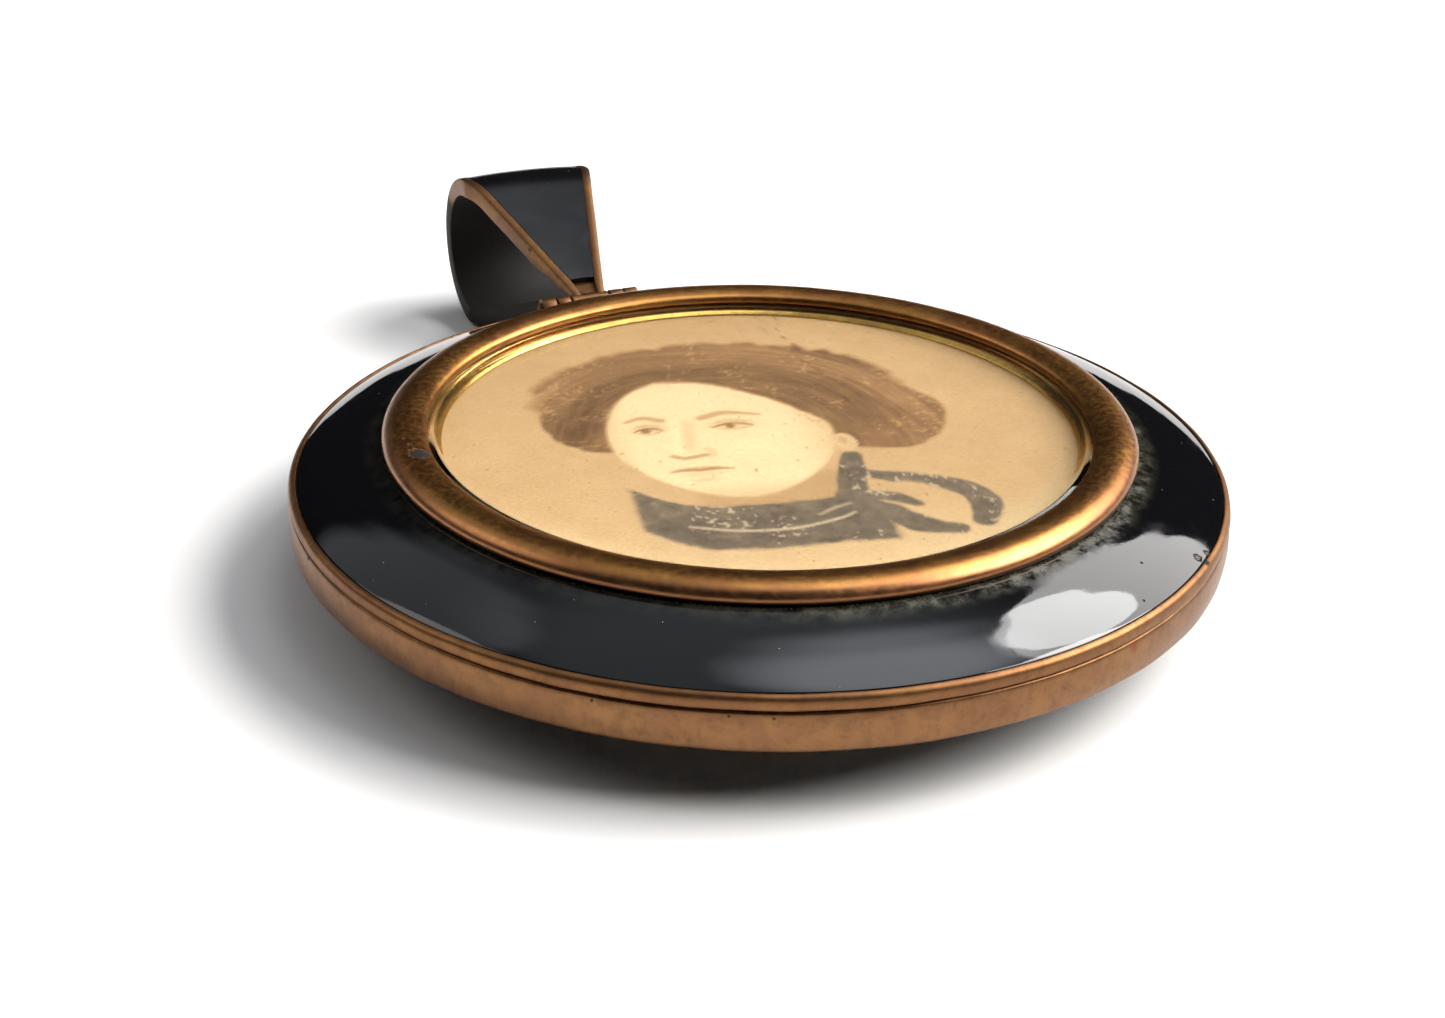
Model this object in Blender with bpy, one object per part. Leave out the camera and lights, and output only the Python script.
"""A round hinged locket: enamelled brass case, glazed front over a printed portrait, folded strap bail.

Lengths are in millimetres in the constants and become metres when a mesh is made. The face looks up
(+Z), the bail points along +Y, and the centre of the back's resting face is the origin.
"""

import math

import bmesh
import bpy
from mathutils import Vector

MM = 0.001
SHARP_ANGLE = 35.0

# Case
SEGMENTS = 64
RIM_RADIUS = 19.0
RIM_LOW = 2.30
SEAM_LOW = 3.85
SEAM_HIGH = 3.95
RIM_TOP = 4.50
BAND_BORE = 17.90
LIP_BORE = 17.95
ENAMEL_EDGE = 18.64
OPENING_RADIUS = 15.02

# Hinge shared by the cover and the bail
HINGE_Y = 20.05
HINGE_Z = 4.02
KNUCKLE_RADIUS = 0.50
KNUCKLE_BORE = 0.30
PIN_RADIUS = 0.26
PIN_HALF_LENGTH = 2.60
PIN_DOME = 0.12
BAIL_TUBE_HALF = 0.95
CASE_KNUCKLE = (1.05, 1.72)
COVER_KNUCKLE = (1.80, 2.47)
KNUCKLE_SEGMENTS = 24
KNUCKLE_ARC_POINTS = 22
CASE_LEAF_ARC = (-45.0, 200.0)
CASE_LEAF_ROOT = [(18.2, 2.85), (19.3, 2.85), (19.6, 3.05)]
CASE_LEAF_TOP = [(18.2, 3.80)]
COVER_LEAF_ARC = (-170.0, 150.0)
COVER_LEAF_ROOT = [(18.2, 4.05)]
COVER_LEAF_TOP = [(18.2, 4.44)]
SOLDER_GAP = 0.03
CUTTER_REACH = 1.0

# Bail
FOLD_DISTANCE = 9.21
FOLD_RADIUS = 3.98
STRAP_THICK = 0.90
STRAP_THIN = 0.44
STRAP_TAPER_LENGTH = 3.0
HALF_WIDTH_AT_HINGE = 0.80
HALF_WIDTH_AT_FOLD = 3.44
BORDER = 0.46
BORDER_MOST = 0.45
INLAY_DEPTH = 0.30
INLAY_GAP = 0.02
INLAY_START = 0.9
LEG_STEPS = 10
FOLD_STEPS = 28

# Profiles of the turned pieces, as (radius, height)
CASE_BAND = [(BAND_BORE, 2.62), (18.68, 2.62), (18.70, RIM_LOW), (18.88, RIM_LOW), (RIM_RADIUS, 2.42),
             (RIM_RADIUS, 3.77), (18.92, SEAM_LOW), (BAND_BORE, SEAM_LOW)]
CLOSING_COLLAR = [(17.42, 2.66), (17.85, 2.66), (17.85, 4.04), (17.78, 4.12), (17.42, 4.12)]
BACK_TRAY = [(ENAMEL_EDGE, 2.49), (18.0, 2.35), (17.0, 1.93), (16.0, 1.59), (15.05, 1.33), (15.05, 1.58),
             (12.6, 1.58), (12.6, 1.88), (15.3, 1.88), (15.3, 1.75), (16.0, 1.95), (17.0, 2.30),
             (17.85, 2.59), (ENAMEL_EDGE, 2.59)]
BACK_ENAMEL = [(ENAMEL_EDGE, 2.31), (18.0, 1.98), (17.0, 1.55), (16.0, 1.21), (15.3, 1.00), (15.08, 0.97),
               (15.08, 1.30), (16.0, 1.56), (17.0, 1.90), (18.0, 2.32), (ENAMEL_EDGE, 2.46)]
BACK_BEZEL = [(14.55, 1.54), (14.97, 1.54), (14.97, 0.93), (15.2, 0.93), (15.22, 0.72), (15.05, 0.42),
              (14.6, 0.20), (14.1, 0.14), (13.7, 0.22), (13.6, 0.34), (13.6, 0.52), (14.55, 0.52)]
BACK_PLATE = [(0.0, 0.0), (13.2, 0.0), (13.5, 0.12), (13.5, 0.56), (14.5, 0.56), (14.5, 0.86), (0.0, 0.86)]
KEEPSAKE_CARD = [(0.0, 1.92), (15.0, 1.92), (15.0, 2.16), (0.0, 2.16)]
INNER_GLASS = [(0.0, 2.20), (14.9, 2.20), (14.9, 2.48), (14.6, 2.60), (0.0, 2.60)]
INNER_FRAME = [(13.2, 2.66), (17.3, 2.66), (17.3, 2.90), (14.8, 3.02), (14.0, 3.16), (13.5, 3.12),
               (13.2, 2.96)]
COVER_LIP = [(LIP_BORE, SEAM_HIGH), (18.90, SEAM_HIGH), (RIM_RADIUS, 4.03), (RIM_RADIUS, 4.38),
             (18.92, 4.47), (18.70, RIM_TOP), (18.68, 4.16), (LIP_BORE, 4.16)]
FRONT_TRAY = [(ENAMEL_EDGE, 4.30), (18.0, 4.42), (17.0, 4.82), (16.0, 5.14), (OPENING_RADIUS, 5.37),
              (OPENING_RADIUS, 4.52), (12.6, 4.52), (12.6, 4.22), (15.32, 4.22), (15.32, 4.93), (16.0, 4.77),
              (17.0, 4.45), (17.5, 4.20), (ENAMEL_EDGE, 4.19)]
FRONT_ENAMEL = [(ENAMEL_EDGE, 4.49), (18.0, 4.80), (17.0, 5.20), (16.0, 5.52), (15.3, 5.72), (15.08, 5.75),
                (15.08, 5.40), (16.0, 5.17), (17.0, 4.85), (18.0, 4.45), (ENAMEL_EDGE, 4.33)]
BACKING_CARD = [(0.0, 4.56), (14.5, 4.56), (14.5, 4.85), (0.0, 4.85)]
PORTRAIT_CARD = [(0.0, 4.88), (14.5, 4.88), (14.5, 5.10), (0.0, 5.10)]
GILT_RING = [(12.85, 5.13), (14.5, 5.13), (14.5, 5.31), (13.0, 5.31), (12.85, 5.24)]
FRONT_BEZEL = [(14.55, 4.58), (14.97, 4.58), (14.97, 5.79), (15.20, 5.79), (15.24, 5.92), (15.18, 6.14),
               (15.0, 6.32), (14.7, 6.45), (14.35, 6.50), (14.0, 6.48), (13.7, 6.42), (13.5, 6.33),
               (13.45, 6.22), (13.45, 6.0), (14.55, 6.0)]
FRONT_GLASS = [(0.0, 5.35), (14.5, 5.35), (14.5, 5.72), (13.7, 5.78), (12.6, 6.08), (0.0, 6.08)]

# Colours, as (red, green, blue), metallic, roughness
WORN_BRASS = ((0.52, 0.33, 0.17), 1.0, 0.38)
GILT = ((0.80, 0.60, 0.25), 1.0, 0.25)
ENAMEL = ((0.008, 0.008, 0.010), 0.0, 0.08)
GLASS = ((0.85, 0.88, 0.88), 0.0, 0.03)
PRINT = ((0.66, 0.52, 0.34), 0.0, 0.6)
CARD = ((0.45, 0.36, 0.25), 0.0, 0.8)


def clear_scene():
    for item in list(bpy.data.objects):
        bpy.data.objects.remove(item, do_unlink=True)


def make_material(name, look):
    colour, metallic, roughness = look
    material = bpy.data.materials.new(name)
    material.use_nodes = True
    shader = material.node_tree.nodes["Principled BSDF"]
    shader.inputs["Base Color"].default_value = (*colour, 1.0)
    shader.inputs["Metallic"].default_value = metallic
    shader.inputs["Roughness"].default_value = roughness
    return material


def finish_mesh(name, bm, look=None):
    """Turns the bmesh into a named object, scaled to metres, with its faces turned outwards."""
    bmesh.ops.recalc_face_normals(bm, faces=bm.faces)
    bmesh.ops.scale(bm, vec=(MM, MM, MM), verts=bm.verts)
    mesh = bpy.data.meshes.new(name)
    bm.to_mesh(mesh)
    bm.free()
    mesh.shade_smooth()
    mesh.set_sharp_from_angle(angle=math.radians(SHARP_ANGLE))
    item = bpy.data.objects.new(name, mesh)
    bpy.context.scene.collection.objects.link(item)
    if look:
        mesh.materials.append(make_material(name, look))
    return item


def turned(name, profile, look):
    """A solid of revolution about Z. A profile that touches the axis ends in a pole there."""
    bm = bmesh.new()
    columns = []
    for radius, height in profile:
        if radius == 0.0:
            columns.append([bm.verts.new((0.0, 0.0, height))] * SEGMENTS)
            continue
        ring = []
        for step in range(SEGMENTS):
            angle = 2 * math.pi * step / SEGMENTS
            ring.append(bm.verts.new((radius * math.cos(angle), radius * math.sin(angle), height)))
        columns.append(ring)
    for index, ring in enumerate(columns):
        after = columns[(index + 1) % len(columns)]
        for step in range(SEGMENTS):
            turn = (step + 1) % SEGMENTS
            corners = []
            for corner in (ring[step], ring[turn], after[turn], after[step]):
                if corner not in corners:
                    corners.append(corner)
            if len(corners) > 2:
                bm.faces.new(corners)
    return finish_mesh(name, bm, look)


def prism(name, outline, low, high, look=None):
    """The (y, z) outline pushed along X from low to high."""
    bm = bmesh.new()
    near = [bm.verts.new((low, y, z)) for y, z in outline]
    far = [bm.verts.new((high, y, z)) for y, z in outline]
    bm.faces.new(near)
    bm.faces.new(list(reversed(far)))
    for index in range(len(outline)):
        after = (index + 1) % len(outline)
        bm.faces.new((near[index], far[index], far[after], near[after]))
    return finish_mesh(name, bm, look)


def circle(centre_y, centre_z, radius, count, start=0.0, stop=360.0):
    """Points of an arc from start to stop degrees. A full turn leaves out the repeated last point."""
    full = stop - start >= 360.0
    steps = count if full else count - 1
    points = []
    for step in range(count):
        angle = math.radians(start + (stop - start) * step / steps)
        points.append((centre_y + radius * math.cos(angle), centre_z + radius * math.sin(angle)))
    return points


def as_cutter(item):
    item.hide_render = True
    item.display_type = "WIRE"
    return item


def boolean(item, cutter, operation):
    modifier = item.modifiers.new(cutter.name, "BOOLEAN")
    modifier.object = cutter
    modifier.operation = operation
    modifier.solver = "EXACT"


def rim_cutter():
    """The round body of the case, a solder gap larger, so that hinge leaves follow its wall."""
    bm = bmesh.new()
    radius = RIM_RADIUS + SOLDER_GAP
    low = []
    high = []
    for step in range(SEGMENTS):
        angle = 2 * math.pi * step / SEGMENTS
        x = radius * math.cos(angle)
        y = radius * math.sin(angle)
        low.append(bm.verts.new((x, y, RIM_LOW - CUTTER_REACH)))
        high.append(bm.verts.new((x, y, RIM_TOP + CUTTER_REACH)))
    bm.faces.new(list(reversed(low)))
    bm.faces.new(high)
    for step in range(SEGMENTS):
        turn = (step + 1) % SEGMENTS
        bm.faces.new((low[step], low[turn], high[turn], high[step]))
    return as_cutter(finish_mesh("cutter_rim", bm))


def knuckle(name, outline, span, bore, rim):
    item = prism(name, outline, span[0], span[1], WORN_BRASS)
    boolean(item, rim, "DIFFERENCE")
    boolean(item, bore, "DIFFERENCE")
    return item


def add_knuckles():
    """Two case knuckles with leaves down the band, and two cover knuckles with leaves onto the lip."""
    bore_outline = circle(HINGE_Y, HINGE_Z, KNUCKLE_BORE, KNUCKLE_SEGMENTS)
    reach = PIN_HALF_LENGTH + CUTTER_REACH
    bore = as_cutter(prism("cutter_bore", bore_outline, -reach, reach))
    rim = rim_cutter()
    case_arc = circle(HINGE_Y, HINGE_Z, KNUCKLE_RADIUS, KNUCKLE_ARC_POINTS, *CASE_LEAF_ARC)
    cover_arc = circle(HINGE_Y, HINGE_Z, KNUCKLE_RADIUS, KNUCKLE_ARC_POINTS, *COVER_LEAF_ARC)
    case_leaf = CASE_LEAF_ROOT + case_arc + CASE_LEAF_TOP
    cover_leaf = COVER_LEAF_ROOT + cover_arc + COVER_LEAF_TOP
    made = {}
    for side, sign in (("left", -1), ("right", 1)):
        for kind, outline, span in (("case", case_leaf, CASE_KNUCKLE), ("cover", cover_leaf, COVER_KNUCKLE)):
            ends = sorted((sign * span[0], sign * span[1]))
            name = f"{kind}_knuckle_{side}"
            made[name] = knuckle(name, outline, ends, bore, rim)
    return made, bore


def hinge_pin():
    """A plain pin along X with slightly domed ends."""
    bm = bmesh.new()
    stations = [(-PIN_HALF_LENGTH - PIN_DOME, 0.0), (-PIN_HALF_LENGTH, PIN_RADIUS),
                (PIN_HALF_LENGTH, PIN_RADIUS), (PIN_HALF_LENGTH + PIN_DOME, 0.0)]
    rings = []
    for x, radius in stations:
        if radius == 0.0:
            rings.append([bm.verts.new((x, HINGE_Y, HINGE_Z))] * KNUCKLE_SEGMENTS)
        else:
            points = circle(HINGE_Y, HINGE_Z, radius, KNUCKLE_SEGMENTS)
            rings.append([bm.verts.new((x, y, z)) for y, z in points])
    for first, second in zip(rings, rings[1:]):
        for step in range(KNUCKLE_SEGMENTS):
            turn = (step + 1) % KNUCKLE_SEGMENTS
            corners = []
            for corner in (first[step], first[turn], second[turn], second[step]):
                if corner not in corners:
                    corners.append(corner)
            bm.faces.new(corners)
    return finish_mesh("hinge_pin", bm, WORN_BRASS)


def bail_stations():
    """Stations of the strap's outer face, from the lower tangent at the hinge round to the upper one.

    Each is (y, z, outward y, outward z).
    """
    tilt = math.asin((FOLD_RADIUS - KNUCKLE_RADIUS) / FOLD_DISTANCE)
    turn = math.pi / 2 + tilt
    centre_y = HINGE_Y + FOLD_DISTANCE
    stations = []
    for side in (-1, 1):
        leg = []
        for step in range(LEG_STEPS + 1):
            share = step / LEG_STEPS
            radius = KNUCKLE_RADIUS + share * (FOLD_RADIUS - KNUCKLE_RADIUS)
            y = HINGE_Y + share * FOLD_DISTANCE + radius * math.cos(turn)
            z = HINGE_Z + side * radius * math.sin(turn)
            leg.append((y, z, math.cos(turn), side * math.sin(turn)))
        if side < 0:
            stations += leg
            for step in range(1, FOLD_STEPS):
                angle = -turn + 2 * turn * step / FOLD_STEPS
                out_y = math.cos(angle)
                out_z = math.sin(angle)
                y = centre_y + FOLD_RADIUS * out_y
                z = HINGE_Z + FOLD_RADIUS * out_z
                stations.append((y, z, out_y, out_z))
        else:
            stations += reversed(leg)
    return stations


def strap_half_width(y):
    share = min(1.0, max(0.0, (y - HINGE_Y) / FOLD_DISTANCE))
    return HALF_WIDTH_AT_HINGE + share * (HALF_WIDTH_AT_FOLD - HALF_WIDTH_AT_HINGE)


def strap_thickness(y):
    share = min(1.0, max(0.0, (y - HINGE_Y) / STRAP_TAPER_LENGTH))
    return STRAP_THIN + share * (STRAP_THICK - STRAP_THIN)


def swept(name, stations, section, look):
    """Sweeps section(y), a list of (x, depth below the outer face), along the stations."""
    bm = bmesh.new()
    rings = []
    for y, z, out_y, out_z in stations:
        ring = []
        for x, depth in section(y):
            ring.append(bm.verts.new((x, y - depth * out_y, z - depth * out_z)))
        rings.append(ring)
    count = len(rings[0])
    for first, second in zip(rings, rings[1:]):
        for index in range(count):
            after = (index + 1) % count
            bm.faces.new((first[index], first[after], second[after], second[index]))
    bm.faces.new(rings[0])
    bm.faces.new(list(reversed(rings[-1])))
    return finish_mesh(name, bm, look)


def strap_section(y):
    half = strap_half_width(y)
    thick = strap_thickness(y)
    border = min(BORDER, BORDER_MOST * half)
    floor = min(INLAY_DEPTH, thick / 2)
    return [(-half, 0.0), (-half + border, 0.0), (-half + border, floor), (half - border, floor),
            (half - border, 0.0), (half, 0.0), (half, thick), (-half, thick)]


def inlay_section(y):
    half = strap_half_width(y)
    edge = half - min(BORDER, BORDER_MOST * half) - INLAY_GAP
    depth = min(INLAY_DEPTH, strap_thickness(y) / 2) - INLAY_GAP
    return [(-edge, 0.0), (edge, 0.0), (edge, depth), (-edge, depth)]


def add_bail(bore):
    """The folded strap, its hinge tube joined on and bored, and the enamel laid in its outer face."""
    stations = bail_stations()
    strap = swept("bail_strap", stations, strap_section, WORN_BRASS)
    tube_outline = circle(HINGE_Y, HINGE_Z, KNUCKLE_RADIUS, KNUCKLE_SEGMENTS)
    tube = as_cutter(prism("joined_tube", tube_outline, -BAIL_TUBE_HALF, BAIL_TUBE_HALF))
    boolean(strap, tube, "UNION")
    boolean(strap, bore, "DIFFERENCE")
    covered = [station for station in stations if station[0] > HINGE_Y + INLAY_START]
    inlay = swept("bail_enamel", covered, inlay_section, ENAMEL)
    return strap, inlay


def empty_at(name, y, z, parent=None):
    item = bpy.data.objects.new(name, None)
    item.empty_display_size = 0.002
    bpy.context.scene.collection.objects.link(item)
    place = Vector((0.0, y * MM, z * MM))
    if parent:
        item.parent = parent
        place = place - parent.location
    item.location = place
    return item


def hang(pieces, pivot, world_place):
    """Parents the pieces to the pivot without moving them."""
    for item in pieces:
        item.parent = pivot
        item.location = -world_place


def build():
    clear_scene()
    for name, profile, look in (
        ("case_band", CASE_BAND, WORN_BRASS),
        ("closing_collar", CLOSING_COLLAR, GILT),
        ("back_tray", BACK_TRAY, GILT),
        ("back_enamel", BACK_ENAMEL, ENAMEL),
        ("back_bezel", BACK_BEZEL, WORN_BRASS),
        ("back_plate", BACK_PLATE, WORN_BRASS),
        ("keepsake_card", KEEPSAKE_CARD, CARD),
        ("inner_glass", INNER_GLASS, GLASS),
        ("inner_frame", INNER_FRAME, GILT),
    ):
        turned(name, profile, look)
    cover = [
        turned("cover_lip", COVER_LIP, WORN_BRASS),
        turned("front_tray", FRONT_TRAY, GILT),
        turned("front_enamel", FRONT_ENAMEL, ENAMEL),
        turned("backing_card", BACKING_CARD, CARD),
        turned("portrait_card", PORTRAIT_CARD, PRINT),
        turned("gilt_ring", GILT_RING, GILT),
    ]
    bezel = [
        turned("front_bezel", FRONT_BEZEL, WORN_BRASS),
        turned("front_glass", FRONT_GLASS, GLASS),
    ]
    hinge_pin()
    knuckles, bore = add_knuckles()
    cover += [knuckles["cover_knuckle_left"], knuckles["cover_knuckle_right"]]
    bail = add_bail(bore)
    hinge_place = Vector((0.0, HINGE_Y * MM, HINGE_Z * MM))
    cover_pivot = empty_at("cover_pivot", HINGE_Y, HINGE_Z)
    bezel_pivot = empty_at("bezel_pivot", 0.0, SEAM_HIGH, cover_pivot)
    bail_pivot = empty_at("bail_pivot", HINGE_Y, HINGE_Z)
    hang(cover, cover_pivot, hinge_place)
    hang(bezel, bezel_pivot, Vector((0.0, 0.0, SEAM_HIGH * MM)))
    hang(bail, bail_pivot, hinge_place)


build()
